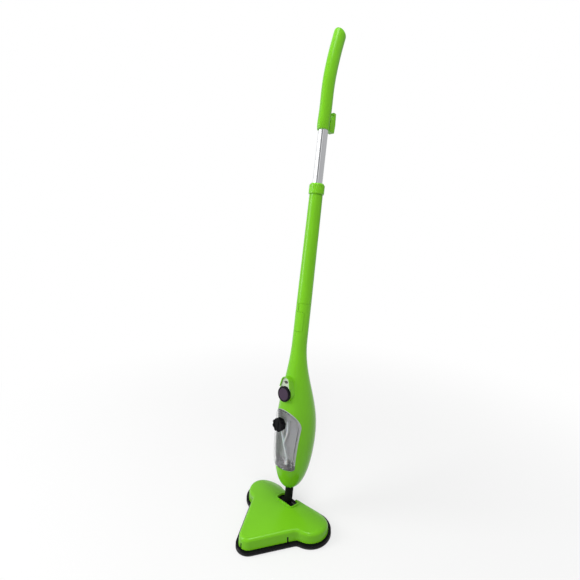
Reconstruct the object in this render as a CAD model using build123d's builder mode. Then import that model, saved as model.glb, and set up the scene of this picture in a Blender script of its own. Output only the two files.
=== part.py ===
from build123d import *
import os
from math import cos, pi, radians, sin, sqrt, tan

# Steam mop, standing on its head with the pole leaning back a little.
# Front is -Y, up is +Z, the floor is Z = 0 and all sizes are millimetres.

# Fits
fit = 0.2              # fixed pieces, each side
slack = 0.4            # pieces that move past each other, each side
running_fit = 0.06     # pins and journals, radial

# Head in plan: a front lobe and two rear lobes joined by straight sides
tip_forward = 98.4
tip_radius = 33.9
lobe_out = 82.6
lobe_back = 36.5
lobe_radius = 56.9
side_angle = 32.5      # of the straight sides from the fore-and-aft line
waist_radius = 12.0
rear_edge = 80.0       # rear edge of the head on the centre line
rear_spread = 62.0     # half width of the hollow in the rear edge

# Head in height
pad_thickness = 6.0
pad_roll = 2.6
strip_thickness = 1.2
strip_corner = 4.0
tip_strip = (40.0, 20.0)
lobe_strip = (57.0, 51.0)
base_thickness = 4.2
rim_inset = 0.8
rim_chamfer = 1.0
rib_height = 3.0
cover_inset = 7.5
cover_draft = 7.0
cover_wall = 2.5
cover_round = 8.0
nose_height = 36.0     # cover top at the front
crest_height = 43.0    # cover top in front of the swivel
crest_back = 16.0
tail_height = 15.0     # cover top at the rear edge
tail_back = 96.0
crown_radius = 900.0   # sideways crown of the cover
lip_width = 3.0        # raised lip round the cover's well
lip_height = 3.5
clip_width = 3.5       # clips of the base in notches of the cover's skirt
clip_tall = 13.0
clip_depth = 1.5
clip_out = 76.0
clip_forward = 36.0

# Base details
diffuser_length = 70.0
diffuser_width = 40.0
diffuser_thickness = 2.0
diffuser_forward = 30.0
diffuser_corner = 4.0
chamber_depth = 1.5
steam_hole = 4.0
screw_shank = 3.0
screw_head = 6.5
screw_head_height = 2.4
screw_boss = 9.0
cover_screw_length = 16.0
cover_screw_spots = [(0, -100), (52, -36), (-52, -36), (98, 40), (-98, 40)]

# Swivel: heights along the neck are measured from its foot, a point on its axis
foot_back = 42.4
foot_height = 36.3
lean = 9.0             # of the pole, backwards from upright
pitch_drop = 10.0      # pitch axis below the foot
barrel_radius = 12.0
barrel_length = 50.0
journal_radius = 6.5
journal_length = 7.0
post_depth = 20.0
neck_width = 22.0
tang_width = 19.0
tang_thickness = 10.0
roll_height = 15.0     # roll pin above the foot
roll_pin_radius = 2.5
neck_bore = 9.0
edge_break = 1.0
pin_chamfer = 0.4
well_gap = 2.5         # between the barrel and the cover's well
neck_slot = 30.0       # width of the slot where the neck swings back
well_corner = 6.0

# Unit housing: an egg-shaped lower body that narrows into a handle
pole_offset = 25.4     # pole axis in front of the neck axis
unit_width = 102.5
unit_depth = 116.0
unit_bottom = 50.0     # above the neck's foot
belly_rise = 162.0     # widest level above the bottom
belly_under = 4.0      # how far the egg shape would run on below its flat bottom
belly_fill = 2.35      # exponent of the egg shape
shoulder_rise = 243.0  # start of the handle above the widest level
setback_drop = 37.0    # start of the forward sweep below the widest level
handle_length = 98.0
handle_radius = 19.8
seam_radius = 19.3
handle_floor = 40.0    # floor of the handle's wide bore above the shoulder
unit_wall = 2.5
lower_stations = 6
upper_stations = 7

# Tank window: an arch with tapering sides
tank_lift = 64.0       # above the unit's bottom
tank_tall = 118.0      # to the centre of the arch
arch_radius = 43.5
tank_bottom_width = 73.0
tank_corner = 9.0
tank_proud = 2.5       # tank's front in front of the housing
tray_back = 22.0
tray_wall = 1.8
tank_wall = 2.0
filler_rise = 7.0      # above the centre of the arch
filler_radius = 12.0
filler_bore = 9.0
filler_stand = 10.5
cap_radius = 17.0
cap_top = 3.0
cap_flutes = 8
flute_radius = 4.5
flute_depth = 2.2
cap_dish = 11.8
cap_bar = 5.2
gasket_thickness = 1.6
hose_radius = 2.2
hose_plane = 32.0      # of the hose, in front of the neck axis
filter_radius = 5.2
filter_tall = 11.0

# Control pod
dial_rise = 42.5       # dial centre above the tank's arch
pod_rise = 31.0        # lamp and upper end of the pod above the dial
pod_radius = 22.0      # round the dial
pod_tip = 14.5         # radius round the lamp
pod_reach = 65.0       # in front of the neck axis
pod_depth = 7.5
bezel_rim = 2.5
bezel_sink = 3.5
dish_depth = 4.5
knob_radius = 19.8
knob_stand = 2.0
face_radius = 15.8
face_depth = 1.5
shaft_radius = 3.0
switch_radius = 12.0
switch_depth = 14.0
lamp_width = 12.0
lamp_tall = 7.0
lamp_stand = 1.0
lamp_round = 0.8

# Works inside the unit
shelf_thickness = 3.0
boiler_width = 48.0
boiler_depth = 44.0
boiler_lift = 66.0     # above the unit's bottom
boiler_tall = 64.0
boiler_back = 9.0
boiler_corner = 10.0
boiler_round = 4.0
pump_width = 36.0
pump_tall = 44.0
pump_lift = 23.0       # above the boiler
pump_nozzle = 5.0
pump_corner = 4.0
thermostat_radius = 8.0
thermostat_thickness = 6.0
terminal_thickness = 1.0
pipe_radius = 4.0
pipe_wall = 1.0
gland_lift = 9.0       # above the pump's foot
gland_radius = 6.0
gland_flange = 9.0
gland_bore = 3.6
unit_screw_rises = [(38, 78), (40, 155), (-6, 250), (-24, 375)]
unit_screw_length = 18.0

# Release button at the front of the unit's handle
button_width = 30.0
button_lift = 26.0     # above the shoulder
button_tall = 50.0
button_wall = 2.5
button_corner = 5.0
button_travel = 2.0
slot_width = 1.4

# Pole
pole_length = 275.0
pole_top_radius = 17.1
pole_bore = 14.2
spigot_radius = 14.0
spigot_wall = 2.5
spigot_length = 53.0
nose_radius = 15.8
nose_length = 21.0
bush_length = 41.0
collar_gap = 2.5
collar_tall = 26.5
collar_radius = 19.6
collar_edge = 1.0
collar_flutes = 24
collar_flute_radius = 1.2
collar_flute_depth = 0.4
inner_radius = 12.5
inner_wall = 1.2
inner_overlap = 112.0  # inner tube inside the outer one
tube_show = 132.0      # inner tube between collar and grip
plug_length = 26.0
plug_spigot = 18.0

# Grip
grip_length = 247.0
grip_width = 28.4
grip_depth = 34.6
grip_flare = 3.0       # growth in depth up to the top
grip_straight = 104.0  # straight part above the grip's bottom
grip_bend = 25.0       # how far the top is curved back
grip_curl = 1.53       # exponent of the curve
grip_stations = 6
grip_slant = 24.0      # of the top, falling to the rear
grip_top_round = 8.0
socket_depth = 52.0
finger_radius = 14.0
finger_depth = 1.6
finger_pitch = 21.5
finger_start = 106.0   # above the grip's bottom
finger_count = 5
grip_screw_rises = [73, 129, 183]
grip_screw_length = 20.0

# Cord hook
hook_rise = 22.0       # pivot above the grip's bottom
hook_width = 14.0
hook_reach = 19.0      # behind the grip
hook_tip = 29.0        # above its pivot
hook_drop = 20.0
hook_web = 7.0
hook_arm = 9.0
hook_curl = 3.5        # lip of the tip towards the grip
hook_flare = 2.0
hook_shoulder = 9.0
hook_floor = 12.0
hook_round = 1.5
hook_pin_depth = 3.0
hook_pin_radius = 2.6
hook_head_radius = 4.6

# Planes: NECK and POLE are square to the pole, FRONT looks forward, SIDE looks sideways
up_pole = (0, sin(radians(lean)), cos(radians(lean)))
back_pole = (0, cos(radians(lean)), -sin(radians(lean)))
front_pole = (0, -cos(radians(lean)), sin(radians(lean)))
foot = Vector(0, foot_back, foot_height)
NECK = Plane(origin=foot, x_dir=(1, 0, 0), z_dir=up_pole)
FRONT = Plane(origin=foot, x_dir=(1, 0, 0), z_dir=front_pole)
SIDE = Plane(origin=foot, x_dir=back_pole, z_dir=(1, 0, 0))
pivot = foot - Vector(up_pole) * pitch_drop
pole_origin = foot + Vector(front_pole) * pole_offset
POLE = Plane(origin=pole_origin, x_dir=(1, 0, 0), z_dir=up_pole)
POLE_FRONT = Plane(origin=pole_origin, x_dir=(1, 0, 0), z_dir=front_pole)
POLE_SIDE = Plane(origin=pole_origin, x_dir=back_pole, z_dir=(1, 0, 0))
pole_axis = Axis(pole_origin, up_pole)

# Heights along the neck and the pole
belly_height = unit_bottom + belly_rise
shoulder_height = belly_height + shoulder_rise
setback_height = belly_height - setback_drop
handle_top = shoulder_height + handle_length
handle_bore_height = shoulder_height + handle_floor
tank_bottom = unit_bottom + tank_lift
arch_height = tank_bottom + tank_tall
filler_height = arch_height + filler_rise
dial_height = arch_height + arch_radius + dial_rise
pod_height = dial_height + pod_rise
boiler_bottom = unit_bottom + boiler_lift
pump_bottom = boiler_bottom + boiler_tall + pump_lift
gland_height = pump_bottom + gland_lift
button_bottom = shoulder_height + button_lift
button_top = button_bottom + button_tall
pole_top = handle_top + pole_length
nose_top = pole_top + nose_length
collar_bottom = pole_top + collar_gap
collar_top = collar_bottom + collar_tall
inner_bottom = pole_top - inner_overlap
grip_bottom = collar_top + tube_show
grip_top = grip_bottom + grip_length
hook_height = grip_bottom + hook_rise

# Reaches of the controls in front of the neck axis
bezel_seat = pod_reach - pod_depth
bezel_reach = pod_reach - bezel_sink
dish_reach = pod_reach - dish_depth
knob_reach = pod_reach + knob_stand

base_bottom = pad_thickness + strip_thickness
base_top = base_bottom + base_thickness
post_in = barrel_length / 2 + slack
post_out = barrel_length / 2 + journal_length

os.makedirs("parts", exist_ok=True)


def head_outline(plane, inset):
    run = (sin(radians(side_angle)), cos(radians(side_angle)))
    start = (tip_radius * run[1], -tip_forward - tip_radius * run[0])
    gap = (start[0] - lobe_out, start[1] - lobe_back)
    along = -(gap[0] * run[0] + gap[1] * run[1])
    reach = along - sqrt(along**2 - gap[0]**2 - gap[1]**2 + lobe_radius**2)
    waist = (start[0] + reach * run[0], start[1] + reach * run[1])
    corner = (rear_spread, lobe_back + sqrt(lobe_radius**2 - (lobe_out - rear_spread)**2))
    with BuildSketch(plane) as outline:
        with Locations((0, -tip_forward)):
            Circle(tip_radius)
        with Locations((lobe_out, lobe_back), (-lobe_out, lobe_back)):
            Circle(lobe_radius)
        with BuildLine():
            Polyline(corner, (lobe_out, lobe_back), waist, start)
            Line(start, (-start[0], start[1]))
            Polyline(
                (-start[0], start[1]), (-waist[0], waist[1]), (-lobe_out, lobe_back),
                (-corner[0], corner[1])
            )
            ThreePointArc((-corner[0], corner[1]), (0, rear_edge), corner)
        make_face()
        waists = outline.vertices().filter_by_position(Axis.Y, waist[1] - 0.1, waist[1] + 0.1)
        fillet(waists, waist_radius)
        if inset:
            offset(amount=-inset)
    return outline.sketch


def skirt(inset):
    with BuildPart() as form:
        extrude(head_outline(Plane.XY.offset(base_top), inset), amount=crest_height, taper=cover_draft)
    return form.part


def bonnet(drop):
    crown_centre = crest_height - crown_radius
    front = tip_forward + 2 * tip_radius
    with BuildPart() as form:
        with BuildSketch(Plane.YZ):
            with BuildLine():
                slope = Line((-front, nose_height - drop), (crest_back, crest_height - drop))
                fall = TangentArc(slope @ 1, (tail_back, tail_height - drop), tangent=slope % 1)
                Polyline(fall @ 1, (tail_back, crown_centre), (-front, crown_centre), slope @ 0)
            make_face()
        revolve(axis=Axis((0, 0, crown_centre), (0, 1, 0)))
    return form.part


def well_outline(margin):
    well_wide = barrel_length + 2 * (well_gap + margin)
    well_long = 2 * (barrel_radius + well_gap + margin)
    with BuildSketch(Plane.XY.offset(base_top)) as well:
        with Locations((0, pivot.Y)):
            RectangleRounded(well_wide, well_long, well_corner + margin)
            Rectangle(neck_slot + 2 * margin, tail_back, align=(Align.CENTER, Align.MIN))
    return well.sketch


def clip_spots(width):
    with BuildSketch(Plane.XY.offset(base_top)) as spots:
        with Locations((0, -tip_forward - tip_radius)):
            Rectangle(width, 4 * cover_inset)
        with Locations((clip_out, -clip_forward)):
            Rectangle(4 * cover_inset, width, rotation=-side_angle)
        with Locations((-clip_out, -clip_forward)):
            Rectangle(4 * cover_inset, width, rotation=side_angle)
    return spots.sketch


def unit_half_sizes(height):
    if height < belly_height:
        fall = (belly_height - height) / (belly_rise + belly_under)
        swell = (1 - fall**belly_fill) ** (1 / belly_fill)
        return unit_width / 2 * swell, unit_depth / 2 * swell
    rise = (height - belly_height) / (shoulder_height - belly_height)
    swell = (1 + cos(pi * rise)) / 2
    half_width = handle_radius + (unit_width / 2 - handle_radius) * swell
    half_depth = handle_radius + (unit_depth / 2 - handle_radius) * swell
    return half_width, half_depth


def unit_setback(height):
    rise = (height - setback_height) / (shoulder_height - setback_height)
    rise = min(max(rise, 0), 1)
    return -pole_offset * (1 - cos(pi * rise)) / 2


def unit_section(height, inset):
    half_width, half_depth = unit_half_sizes(height)
    with BuildSketch(NECK.offset(height)) as section:
        with Locations((0, unit_setback(height))):
            Ellipse(half_width - inset, half_depth - inset)
    return section.sketch


def unit_form(inset):
    bottom = unit_bottom + 2 * max(inset, 0)
    turns = [90 * step / lower_stations for step in range(lower_stations)]
    lower = [belly_height - (belly_height - bottom) * cos(radians(turn)) for turn in turns]
    rise = (shoulder_height - belly_height) / upper_stations
    upper = [belly_height + rise * step for step in range(upper_stations + 1)]
    with BuildPart() as form:
        loft([unit_section(height, inset) for height in lower + upper])
    return form.part


def tank_window(plane, inset):
    corner_out = tank_bottom_width / 2 - tank_corner
    with BuildSketch(plane) as window:
        with Locations((0, arch_height)):
            arch = Circle(arch_radius - inset, mode=Mode.PRIVATE)
        with Locations((corner_out, tank_bottom + tank_corner), (-corner_out, tank_bottom + tank_corner)):
            corners = Circle(tank_corner - inset, mode=Mode.PRIVATE)
        make_hull(arch.edges() + corners.edges())
    return window.sketch


def pod_outline(plane, inset):
    with BuildSketch(plane) as pod:
        with Locations((0, dial_height)):
            ring = Circle(pod_radius - inset, mode=Mode.PRIVATE)
        with Locations((0, pod_height)):
            tip = Circle(pod_tip - inset, mode=Mode.PRIVATE)
        make_hull(ring.edges() + tip.edges())
    return pod.sketch


# Mop pad with rolled edges
with BuildPart() as mop_pad:
    extrude(head_outline(Plane.XY, 0), amount=pad_thickness)
    fillet(mop_pad.faces().filter_by(Axis.Z).edges(), pad_roll)
mop_pad.part.label = "mop_pad"
export_step(mop_pad.part, "parts/mop_pad.step")

# Hook-and-loop patches between pad and base
with BuildPart() as hook_strips:
    with BuildSketch(Plane.XY.offset(pad_thickness)):
        with Locations((0, -tip_forward)):
            RectangleRounded(*tip_strip, strip_corner)
        with Locations((lobe_out, lobe_back), (-lobe_out, lobe_back)):
            RectangleRounded(*lobe_strip, strip_corner)
    extrude(amount=strip_thickness)
hook_strips.part.label = "hook_strips"
export_step(hook_strips.part, "parts/hook_strips.step")

# Base plate with a chamfered rim, a steam chamber and the swivel's bearing posts
rib_inset = cover_inset + cover_wall + rib_height * tan(radians(cover_draft)) + fit
with BuildPart() as clips:
    extrude(clip_spots(clip_width), amount=clip_tall - fit)
    add(skirt(cover_inset), mode=Mode.INTERSECT)
    add(skirt(cover_inset + clip_depth - fit), mode=Mode.SUBTRACT)
with BuildPart() as base_plate:
    extrude(head_outline(Plane.XY.offset(base_bottom), rim_inset), amount=base_thickness)
    chamfer(base_plate.faces().filter_by(Axis.Z).edges(), rim_chamfer)
    with BuildSketch(Plane.XY.offset(base_top)):
        add(head_outline(Plane.XY, rib_inset))
        add(head_outline(Plane.XY, rib_inset + cover_wall), mode=Mode.SUBTRACT)
    extrude(amount=rib_height)
    with BuildSketch(Plane.XY.offset(base_top)):
        with Locations((0, pivot.Y)):
            with GridLocations(2 * post_in + journal_length, 0, 2, 1):
                Rectangle(journal_length - slack, post_depth)
    extrude(amount=pivot.Z - base_top)
    with BuildSketch(Plane.YZ):
        with Locations((pivot.Y, pivot.Z)):
            Circle(journal_radius + running_fit)
    extrude(amount=post_out + slack, both=True, mode=Mode.SUBTRACT)
    add(clips.part)
    with BuildSketch(Plane.XY.offset(base_bottom)):
        with Locations((0, -diffuser_forward)):
            RectangleRounded(diffuser_length + 2 * fit, diffuser_width + 2 * fit, diffuser_corner)
    extrude(amount=diffuser_thickness, mode=Mode.SUBTRACT)
    with BuildSketch(Plane.XY.offset(base_bottom + diffuser_thickness)):
        with Locations((0, -diffuser_forward)):
            RectangleRounded(
                diffuser_length - 4 * steam_hole, diffuser_width - 2 * steam_hole, diffuser_corner
            )
    extrude(amount=chamber_depth, mode=Mode.SUBTRACT)
    with BuildSketch(Plane.XY.offset(base_bottom)):
        with Locations((0, -diffuser_forward)):
            Circle(pipe_radius)
        with Locations(*cover_screw_spots):
            Circle(screw_shank / 2 + fit)
    extrude(amount=base_thickness, mode=Mode.SUBTRACT)
    with BuildSketch(Plane.XY.offset(base_bottom)):
        with Locations(*cover_screw_spots):
            Circle(screw_head / 2 + fit)
    extrude(amount=screw_head_height, mode=Mode.SUBTRACT)
base_plate.part.label = "base_plate"
export_step(base_plate.part, "parts/base_plate.step")

# Perforated steam plate under the base
with BuildPart() as steam_diffuser:
    with BuildSketch(Plane.XY.offset(base_bottom)):
        with Locations((0, -diffuser_forward)):
            RectangleRounded(diffuser_length, diffuser_width, diffuser_corner)
            with GridLocations(3 * steam_hole, 3 * steam_hole, 4, 2):
                Circle(steam_hole / 2, mode=Mode.SUBTRACT)
    extrude(amount=diffuser_thickness)
steam_diffuser.part.label = "steam_diffuser"
export_step(steam_diffuser.part, "parts/steam_diffuser.step")

# Cover: drafted sides under a crowned top that falls away to the rear
with BuildPart() as cover_cavity:
    add(skirt(cover_inset + cover_wall))
    add(bonnet(cover_wall), mode=Mode.INTERSECT)
    with BuildSketch(Plane.XY.offset(base_top)):
        with Locations(*cover_screw_spots):
            Circle(screw_boss / 2)
    extrude(amount=crest_height, mode=Mode.SUBTRACT)
with BuildPart() as well_lip:
    extrude(well_outline(lip_width), amount=crest_height)
    add(bonnet(-lip_height), mode=Mode.INTERSECT)
    add(bonnet(cover_wall / 2), mode=Mode.SUBTRACT)
    add(skirt(cover_inset + cover_round), mode=Mode.INTERSECT)
with BuildPart() as notches:
    extrude(clip_spots(clip_width + 2 * fit), amount=clip_tall)
    add(skirt(cover_inset + clip_depth), mode=Mode.SUBTRACT)
with BuildPart() as head_cover:
    add(skirt(cover_inset))
    add(bonnet(0), mode=Mode.INTERSECT)
    top_edges = head_cover.edges().filter_by_position(Axis.Z, base_top + 0.5, 2 * crest_height)
    fillet(top_edges.filter_by(lambda edge: abs((edge % 0.5).Z) < 0.8 and edge.length > 30), cover_round)
    add(cover_cavity.part, mode=Mode.SUBTRACT)
    add(well_lip.part)
    add(notches.part, mode=Mode.SUBTRACT)
    extrude(well_outline(0), amount=2 * crest_height, mode=Mode.SUBTRACT)
    with BuildSketch(Plane.XY.offset(base_top)):
        with Locations(*cover_screw_spots):
            Circle(screw_shank / 2 + fit / 2)
    extrude(amount=cover_screw_length, mode=Mode.SUBTRACT)
head_cover.part.label = "head_cover"
export_step(head_cover.part, "parts/head_cover.step")

# Screws that join base and cover from below
with BuildPart() as cover_screws:
    with BuildSketch(Plane.XY.offset(base_bottom)):
        with Locations(*cover_screw_spots):
            Circle(screw_head / 2)
    extrude(amount=screw_head_height)
    with BuildSketch(Plane.XY.offset(base_bottom + screw_head_height)):
        with Locations(*cover_screw_spots):
            Circle(screw_shank / 2)
    extrude(amount=cover_screw_length - screw_head_height)
cover_screws.part.label = "cover_screws"
export_step(cover_screws.part, "parts/cover_screws.step")

# Half-round caps over the swivel's journals
with BuildPart() as bearing_caps:
    with BuildSketch(Plane.YZ.offset(post_in + slack / 2)):
        with Locations((pivot.Y, pivot.Z)):
            Circle(post_depth / 2)
            Circle(journal_radius + running_fit, mode=Mode.SUBTRACT)
            Rectangle(2 * post_depth, post_depth, align=(Align.CENTER, Align.MAX), mode=Mode.SUBTRACT)
    extrude(amount=journal_length - slack)
    mirror(about=Plane.YZ)
bearing_caps.part.label = "bearing_caps"
export_step(bearing_caps.part, "parts/bearing_caps.step")

# Cross barrel with its tang; it tips fore and aft in the head
with BuildPart() as swivel_barrel:
    with BuildSketch(Plane.YZ.offset(-barrel_length / 2)):
        with Locations((pivot.Y, pivot.Z)):
            Circle(barrel_radius)
    extrude(amount=barrel_length)
    chamfer(swivel_barrel.faces().filter_by(Axis.X).edges(), edge_break)
    with BuildSketch(Plane.YZ.offset(-post_out)):
        with Locations((pivot.Y, pivot.Z)):
            Circle(journal_radius)
    extrude(amount=2 * post_out)
    with BuildSketch(FRONT.offset(-tang_thickness / 2)):
        with Locations((0, roll_height)):
            Rectangle(tang_width, roll_height + pitch_drop, align=(Align.CENTER, Align.MAX))
            Circle(tang_width / 2)
    extrude(amount=tang_thickness)
    with BuildSketch(FRONT.offset(-tang_thickness)):
        with Locations((0, roll_height)):
            Circle(roll_pin_radius + running_fit)
    extrude(amount=2 * tang_thickness, mode=Mode.SUBTRACT)
swivel_barrel.part.label = "swivel_barrel"
export_step(swivel_barrel.part, "parts/swivel_barrel.step")

# Pin of the sideways tilt
with BuildPart() as roll_pin:
    pin_length = neck_width - 2 * edge_break
    with BuildSketch(FRONT.offset(-pin_length / 2)):
        with Locations((0, roll_height)):
            Circle(roll_pin_radius)
    extrude(amount=pin_length)
    chamfer(roll_pin.edges(), pin_chamfer)
roll_pin.part.label = "roll_pin"
export_step(roll_pin.part, "parts/roll_pin.step")

# Forked neck that tilts on the barrel and runs up into the unit
neck_top = boiler_bottom - shelf_thickness - fit
with BuildPart() as neck:
    with BuildSketch(NECK.offset(roll_height - neck_width / 2)):
        Circle(neck_width / 2)
    extrude(amount=neck_top - roll_height + neck_width / 2)
    with BuildSketch(FRONT.offset(-neck_width)):
        with Locations((0, roll_height)):
            Rectangle(2 * neck_width, neck_top, align=(Align.CENTER, Align.MIN))
            Circle(neck_width / 2)
    extrude(amount=2 * neck_width, mode=Mode.INTERSECT)
    with BuildSketch(NECK.offset(roll_height)):
        Rectangle(2 * neck_width, tang_thickness + 2 * slack)
    slot_top = neck_width / 2 + 2 * slack
    extrude(amount=slot_top, both=True, mode=Mode.SUBTRACT)
    with BuildSketch(NECK.offset(roll_height)):
        Circle(neck_bore / 2)
    extrude(amount=neck_top, mode=Mode.SUBTRACT)
    with BuildSketch(FRONT.offset(-neck_width)):
        with Locations((0, roll_height)):
            Circle(roll_pin_radius + running_fit / 2)
    extrude(amount=2 * neck_width, mode=Mode.SUBTRACT)
neck.part.label = "neck"
export_step(neck.part, "parts/neck.step")

# Unit housing, modelled whole and then split into left and right halves
boss_radius = screw_boss / 2
shelf_heights = [boiler_bottom - shelf_thickness, pump_bottom - shelf_thickness]
gland_back = unit_setback(gland_height) + unit_half_sizes(gland_height)[1]
button_height = (button_bottom + button_top) / 2
unit_screw_spots = [(back, unit_bottom + rise) for back, rise in unit_screw_rises]
with BuildPart() as unit_body:
    add(unit_form(0))
    extrude(pod_outline(FRONT.offset(pole_offset), 0), amount=pod_reach - pole_offset)
    add(unit_form(unit_wall), mode=Mode.SUBTRACT)
    with BuildSketch(POLE_SIDE):
        with BuildLine():
            Polyline(
                (0, shoulder_height), (handle_radius, shoulder_height), (seam_radius, handle_top),
                (0, handle_top), close=True
            )
        make_face()
    revolve(axis=pole_axis)
    with BuildSketch(POLE.offset(shoulder_height - unit_wall)):
        Circle(handle_radius - unit_wall)
    extrude(amount=handle_bore_height - shoulder_height + unit_wall, mode=Mode.SUBTRACT)
    with BuildSketch(POLE.offset(handle_bore_height)):
        Circle(spigot_radius + fit)
    extrude(amount=handle_top - handle_bore_height, mode=Mode.SUBTRACT)
    for height in shelf_heights:
        half_width, half_depth = unit_half_sizes(height)
        with BuildSketch(NECK.offset(height)):
            with Locations((0, unit_setback(height))):
                Ellipse(half_width - unit_wall / 2, half_depth - unit_wall / 2)
            with Locations((0, -tray_back + 2 * fit)):
                Rectangle(unit_width, unit_depth, align=(Align.CENTER, Align.MIN), mode=Mode.INTERSECT)
            Circle(pipe_radius + fit, mode=Mode.SUBTRACT)
        extrude(amount=shelf_thickness)
    with BuildSketch(SIDE):
        with Locations(*unit_screw_spots):
            Circle(boss_radius)
    bosses = extrude(amount=unit_width, both=True, mode=Mode.PRIVATE)
    add(bosses.intersect(unit_form(unit_wall / 2)))
    # Openings for the neck, tank, controls, button and mains lead
    with BuildSketch(NECK.offset(unit_bottom - unit_wall)):
        Circle(neck_width / 2 + fit)
    extrude(amount=4 * unit_wall, mode=Mode.SUBTRACT)
    extrude(tank_window(FRONT.offset(tray_back - fit), 0), amount=unit_depth, mode=Mode.SUBTRACT)
    extrude(pod_outline(FRONT.offset(bezel_seat), bezel_rim), amount=pod_reach, mode=Mode.SUBTRACT)
    with BuildSketch(FRONT.offset(dish_reach)):
        with Locations((0, dial_height)):
            Circle(pod_radius + bezel_rim)
    extrude(amount=pod_reach, mode=Mode.SUBTRACT)
    with BuildSketch(FRONT.offset(pole_offset)):
        with Locations((0, dial_height)):
            Circle(switch_radius + fit)
    extrude(amount=pod_reach - pole_offset, mode=Mode.SUBTRACT)
    with BuildSketch(POLE_FRONT.offset(spigot_radius / 2)):
        with Locations((0, button_height)):
            RectangleRounded(button_width + 2 * slack, button_tall + 2 * slack, button_corner + slack)
        with Locations((0, (button_top + handle_top) / 2)):
            Rectangle(slot_width, handle_top - button_top)
    extrude(amount=2 * handle_radius, mode=Mode.SUBTRACT)
    with BuildSketch(FRONT.offset(-gland_back - unit_wall)):
        with Locations((0, gland_height)):
            Circle(gland_radius + fit)
    extrude(amount=4 * unit_wall, mode=Mode.SUBTRACT)
    with BuildSketch(FRONT.offset(-gland_back + unit_wall)):
        with Locations((0, gland_height)):
            Circle(gland_flange + fit)
    extrude(amount=2 * unit_wall, mode=Mode.SUBTRACT)
    # Screw holes, entered from the left
    with BuildSketch(SIDE.offset(-unit_screw_length / 2)):
        with Locations(*unit_screw_spots):
            Circle(screw_shank / 2 + fit / 2)
    extrude(amount=unit_screw_length, mode=Mode.SUBTRACT)
    with BuildSketch(SIDE.offset(-unit_screw_length / 2)):
        with Locations(*unit_screw_spots):
            Circle(screw_head / 2 + fit)
    extrude(amount=-unit_width, mode=Mode.SUBTRACT)

with BuildPart() as unit_shell_left:
    add(unit_body.part)
    split(bisect_by=Plane.YZ, keep=Keep.BOTTOM)
unit_shell_left.part.label = "unit_shell_left"
export_step(unit_shell_left.part, "parts/unit_shell_left.step")

with BuildPart() as unit_shell_right:
    add(unit_body.part)
    split(bisect_by=Plane.YZ, keep=Keep.TOP)
unit_shell_right.part.label = "unit_shell_right"
export_step(unit_shell_right.part, "parts/unit_shell_right.step")

# Housing screws
with BuildPart() as unit_screws:
    with BuildSketch(SIDE.offset(-unit_screw_length / 2)):
        with Locations(*unit_screw_spots):
            Circle(screw_head / 2)
    extrude(amount=-screw_head_height)
    with BuildSketch(SIDE.offset(-unit_screw_length / 2)):
        with Locations(*unit_screw_spots):
            Circle(screw_shank / 2)
    extrude(amount=unit_screw_length - fit)
unit_screws.part.label = "unit_screws"
export_step(unit_screws.part, "parts/unit_screws.step")

# Tray behind the tank
with BuildPart() as tank_tray:
    extrude(tank_window(FRONT.offset(tray_back), fit), amount=unit_depth)
    add(unit_form(3 * fit), mode=Mode.INTERSECT)
    inner_window = tank_window(FRONT.offset(tray_back + tray_wall), fit + tray_wall)
    extrude(inner_window, amount=unit_depth, mode=Mode.SUBTRACT)
tank_tray.part.label = "tank_tray"
export_step(tank_tray.part, "parts/tank_tray.step")

# Clear tank, a little proud of the housing, with a filler neck at the front
tank_inset = 2 * fit + tray_wall
tank_back = tray_back + tray_wall + fit
with BuildPart() as tank_room:
    room = tank_window(FRONT.offset(tank_back + tank_wall), tank_inset + tank_wall)
    extrude(room, amount=unit_depth)
    add(unit_form(tank_wall - tank_proud), mode=Mode.INTERSECT)
filler_front = unit_half_sizes(filler_height)[1] - unit_setback(filler_height) + tank_proud
filler_reach = filler_front + filler_stand
with BuildPart() as water_tank:
    extrude(tank_window(FRONT.offset(tank_back), tank_inset), amount=unit_depth)
    add(unit_form(-tank_proud), mode=Mode.INTERSECT)
    fillet(water_tank.faces().sort_by(Axis(foot, front_pole))[-1].edges(), tank_wall)
    add(tank_room.part, mode=Mode.SUBTRACT)
    with BuildSketch(FRONT.offset(filler_front - 2 * tank_wall)):
        with Locations((0, filler_height)):
            Circle(filler_radius)
    extrude(amount=filler_reach - filler_front + 2 * tank_wall)
    with BuildSketch(FRONT.offset(filler_front - 3 * tank_wall)):
        with Locations((0, filler_height)):
            Circle(filler_bore)
    extrude(amount=filler_reach, mode=Mode.SUBTRACT)
water_tank.part.label = "water_tank"
export_step(water_tank.part, "parts/water_tank.step")

# Seal between the filler neck and its cap
with BuildPart() as cap_gasket:
    with BuildSketch(FRONT.offset(filler_reach + fit / 2)):
        with Locations((0, filler_height)):
            Circle(filler_radius)
            Circle(filler_bore, mode=Mode.SUBTRACT)
    extrude(amount=gasket_thickness)
cap_gasket.part.label = "cap_gasket"
export_step(cap_gasket.part, "parts/cap_gasket.step")

# Fluted filler cap with a finger bar across its dished front
cap_back = filler_front + 3 * slack
cap_inside = filler_reach + gasket_thickness + fit
with BuildPart() as filler_cap:
    with BuildSketch(FRONT.offset(cap_back)):
        with Locations((0, filler_height)):
            Circle(cap_radius)
            with PolarLocations(cap_radius + flute_radius - flute_depth, cap_flutes):
                Circle(flute_radius, mode=Mode.SUBTRACT)
    extrude(amount=cap_inside + cap_top - cap_back)
    with BuildSketch(FRONT.offset(cap_back)):
        with Locations((0, filler_height)):
            Circle(filler_radius + slack)
    extrude(amount=cap_inside - cap_back, mode=Mode.SUBTRACT)
    with BuildSketch(FRONT.offset(cap_inside + cap_top / 2)):
        with Locations((0, filler_height)):
            Circle(cap_dish)
            Rectangle(cap_bar, 2 * cap_radius, mode=Mode.SUBTRACT)
    extrude(amount=cap_top, mode=Mode.SUBTRACT)
filler_cap.part.label = "filler_cap"
export_step(filler_cap.part, "parts/filler_cap.step")

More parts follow.
